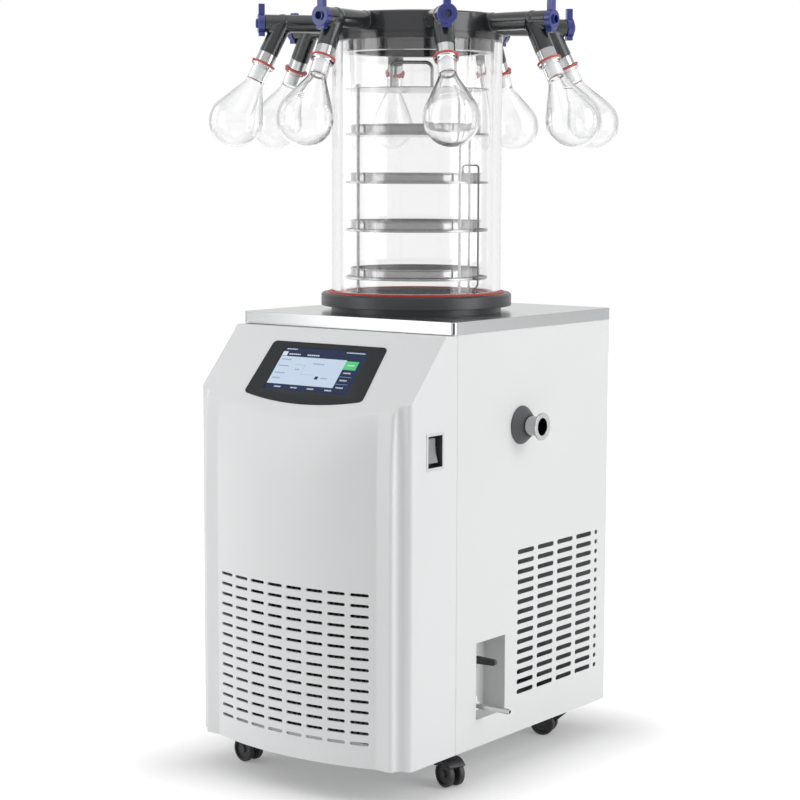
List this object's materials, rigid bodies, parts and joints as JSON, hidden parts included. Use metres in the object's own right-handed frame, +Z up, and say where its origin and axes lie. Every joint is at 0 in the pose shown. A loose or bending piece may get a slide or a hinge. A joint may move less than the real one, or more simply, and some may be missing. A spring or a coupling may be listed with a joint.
{
  "type": "freeze dryer",
  "caption": "Floor-standing freeze dryer: a refrigerated cabinet with touch panel and casters under a clear drying chamber with trays and a lid manifold of stopcock arms holding flasks.",
  "frame": {"origin": "on the floor under the axis of the drying chamber, which is near the middle of the footprint", "axes": "+Z up along the chamber axis, -Y towards the front with the touch panel, +X towards the side with the vacuum port"},
  "size_m": [0.6158, 0.6158, 1.1128],
  "materials": {
    "cabinet_paint": "satin powder coat",
    "pan_steel": "matt",
    "cover_plastic": "satin moulded",
    "worktop_steel": "brushed, bright top",
    "bezel_plastic": "satin",
    "screen_glass": "glossy",
    "switch_plastic": "fine texture",
    "rocker_plastic": "glossy",
    "port_steel": "turned",
    "grommet_rubber": "matt",
    "recess_plastic": "satin",
    "valve_metal": "satin",
    "lever_plastic": "satin",
    "pot_steel": "satin",
    "ring_metal": "charcoal anodised",
    "red_rubber": "matt",
    "chamber_acrylic": "clear polished",
    "lid_plastic": "polished",
    "collar_steel": "polished",
    "rack_steel": "satin",
    "tray_steel": "satin",
    "lead_plastic": "matt",
    "condenser_metal": "matt",
    "shroud_metal": "matt",
    "fan_plastic": "matt",
    "compressor_paint": "semi-gloss",
    "flask_glass": "clear, frosted ground neck",
    "knob_plastic": "glossy moulded",
    "caster_plastic": "satin",
    "wheel_rubber": "matt"
  },
  "bodies": {
    "cabinet": {"side_panel_right": "cabinet_paint", "side_panel_left": "cabinet_paint", "rear_panel": "cabinet_paint", "base_pan": "pan_steel", "front_cover": "cover_plastic", "worktop": "worktop_steel", "screen_bezel": "bezel_plastic", "touch_screen": "screen_glass", "switch_housing": "switch_plastic", "power_inlet": "switch_plastic", "vacuum_port": "port_steel", "port_grommet": "grommet_rubber", "drain_pocket": "recess_plastic", "drain_valve": "valve_metal", "drain_spout": "valve_metal", "trap_pot": "pot_steel", "chamber_ring": "ring_metal", "ring_gasket": "red_rubber", "flask_seals": "red_rubber", "chamber_cylinder": "chamber_acrylic", "manifold_lid": "lid_plastic", "valve_arms": "lid_plastic", "branch_collars": "collar_steel", "rack_frame": "rack_steel", "rack_top": "rack_steel", "tray_1": "tray_steel", "tray_2": "tray_steel", "tray_3": "tray_steel", "tray_4": "tray_steel", "probe_lead": "lead_plastic", "condenser": "condenser_metal", "fan_shroud": "shroud_metal", "compressor": "compressor_paint", "flask_1": "flask_glass", "flask_2": "flask_glass", "flask_3": "flask_glass", "flask_4": "flask_glass", "flask_5": "flask_glass", "flask_6": "flask_glass", "flask_7": "flask_glass", "flask_8": "flask_glass"},
    "knob_1": {"valve_knob_1": "knob_plastic"},
    "knob_2": {"valve_knob_2": "knob_plastic"},
    "knob_3": {"valve_knob_3": "knob_plastic"},
    "knob_4": {"valve_knob_4": "knob_plastic"},
    "knob_5": {"valve_knob_5": "knob_plastic"},
    "knob_6": {"valve_knob_6": "knob_plastic"},
    "knob_7": {"valve_knob_7": "knob_plastic"},
    "knob_8": {"valve_knob_8": "knob_plastic"},
    "fork_1": {"caster_fork_1": "caster_plastic"},
    "wheel_1": {"caster_wheel_1": "wheel_rubber"},
    "fork_2": {"caster_fork_2": "caster_plastic"},
    "wheel_2": {"caster_wheel_2": "wheel_rubber"},
    "fork_3": {"caster_fork_3": "caster_plastic"},
    "wheel_3": {"caster_wheel_3": "wheel_rubber"},
    "fork_4": {"caster_fork_4": "caster_plastic"},
    "wheel_4": {"caster_wheel_4": "wheel_rubber"},
    "rocker": {"power_rocker": "rocker_plastic"},
    "lever": {"drain_lever": "lever_plastic"},
    "fan": {"fan_blades": "fan_plastic"}
  },
  "joints": [
    {"name": "knob_1_turn", "type": "hinge", "parent": "cabinet", "child": "knob_1", "pos_m": [0.23089, 0.00726, 1.0845], "axis": [0.9995, 0.0314, 0], "range_deg": [0, 90]},
    {"name": "knob_2_turn", "type": "hinge", "parent": "cabinet", "child": "knob_2", "pos_m": [0.15813, 0.16839, 1.0845], "axis": [0.6845, 0.729, 0], "range_deg": [0, 90]},
    {"name": "knob_3_turn", "type": "hinge", "parent": "cabinet", "child": "knob_3", "pos_m": [-0.00726, 0.23089, 1.0845], "axis": [-0.0314, 0.9995, 0], "range_deg": [0, 90]},
    {"name": "knob_4_turn", "type": "hinge", "parent": "cabinet", "child": "knob_4", "pos_m": [-0.16839, 0.15813, 1.0845], "axis": [-0.729, 0.6845, 0], "range_deg": [0, 90]},
    {"name": "knob_5_turn", "type": "hinge", "parent": "cabinet", "child": "knob_5", "pos_m": [-0.23089, -0.00726, 1.0845], "axis": [-0.9995, -0.0314, 0], "range_deg": [0, 90]},
    {"name": "knob_6_turn", "type": "hinge", "parent": "cabinet", "child": "knob_6", "pos_m": [-0.15813, -0.16839, 1.0845], "axis": [-0.6845, -0.729, 0], "range_deg": [0, 90]},
    {"name": "knob_7_turn", "type": "hinge", "parent": "cabinet", "child": "knob_7", "pos_m": [0.00726, -0.23089, 1.0845], "axis": [0.0314, -0.9995, 0], "range_deg": [0, 90]},
    {"name": "knob_8_turn", "type": "hinge", "parent": "cabinet", "child": "knob_8", "pos_m": [0.16839, -0.15813, 1.0845], "axis": [0.729, -0.6845, 0], "range_deg": [0, 90]},
    {"name": "caster_1_swivel", "type": "hinge", "parent": "cabinet", "child": "fork_1", "pos_m": [-0.112, -0.2295, 0.045], "axis": [0, 0, 1], "continuous": true},
    {"name": "wheel_1_spin", "type": "hinge", "parent": "fork_1", "child": "wheel_1", "pos_m": [-0.13966, -0.22512, 0.019], "axis": [-0.1564, -0.9877, 0], "continuous": true},
    {"name": "caster_2_swivel", "type": "hinge", "parent": "cabinet", "child": "fork_2", "pos_m": [0.146, -0.138, 0.045], "axis": [0, 0, 1], "continuous": true},
    {"name": "wheel_2_spin", "type": "hinge", "parent": "fork_2", "child": "wheel_2", "pos_m": [0.17263, -0.14665, 0.019], "axis": [0.309, 0.9511, 0], "continuous": true},
    {"name": "caster_3_swivel", "type": "hinge", "parent": "cabinet", "child": "fork_3", "pos_m": [-0.156, 0.173, 0.045], "axis": [0, 0, 1], "continuous": true},
    {"name": "wheel_3_spin", "type": "hinge", "parent": "fork_3", "child": "wheel_3", "pos_m": [-0.12969, 0.18258, 0.019], "axis": [-0.342, 0.9397, 0], "continuous": true},
    {"name": "caster_4_swivel", "type": "hinge", "parent": "cabinet", "child": "fork_4", "pos_m": [0.156, 0.173, 0.045], "axis": [0, 0, 1], "continuous": true},
    {"name": "wheel_4_spin", "type": "hinge", "parent": "fork_4", "child": "wheel_4", "pos_m": [0.12922, 0.16481, 0.019], "axis": [0.2924, -0.9563, 0], "continuous": true},
    {"name": "power_rocker_tilt", "type": "hinge", "parent": "cabinet", "child": "rocker", "pos_m": [0.1805, -0.212, 0.4895], "axis": [0, 1, 0], "range_deg": [0, 16]},
    {"name": "drain_lever_turn", "type": "hinge", "parent": "cabinet", "child": "lever", "pos_m": [0.173, -0.0845, 0.172], "axis": [0, 1, 0], "range_deg": [0, 90]},
    {"name": "fan_spin", "type": "hinge", "parent": "cabinet", "child": "fan", "pos_m": [0, -0.188, 0.1742], "axis": [0, 1, 0], "continuous": true}
  ]
}
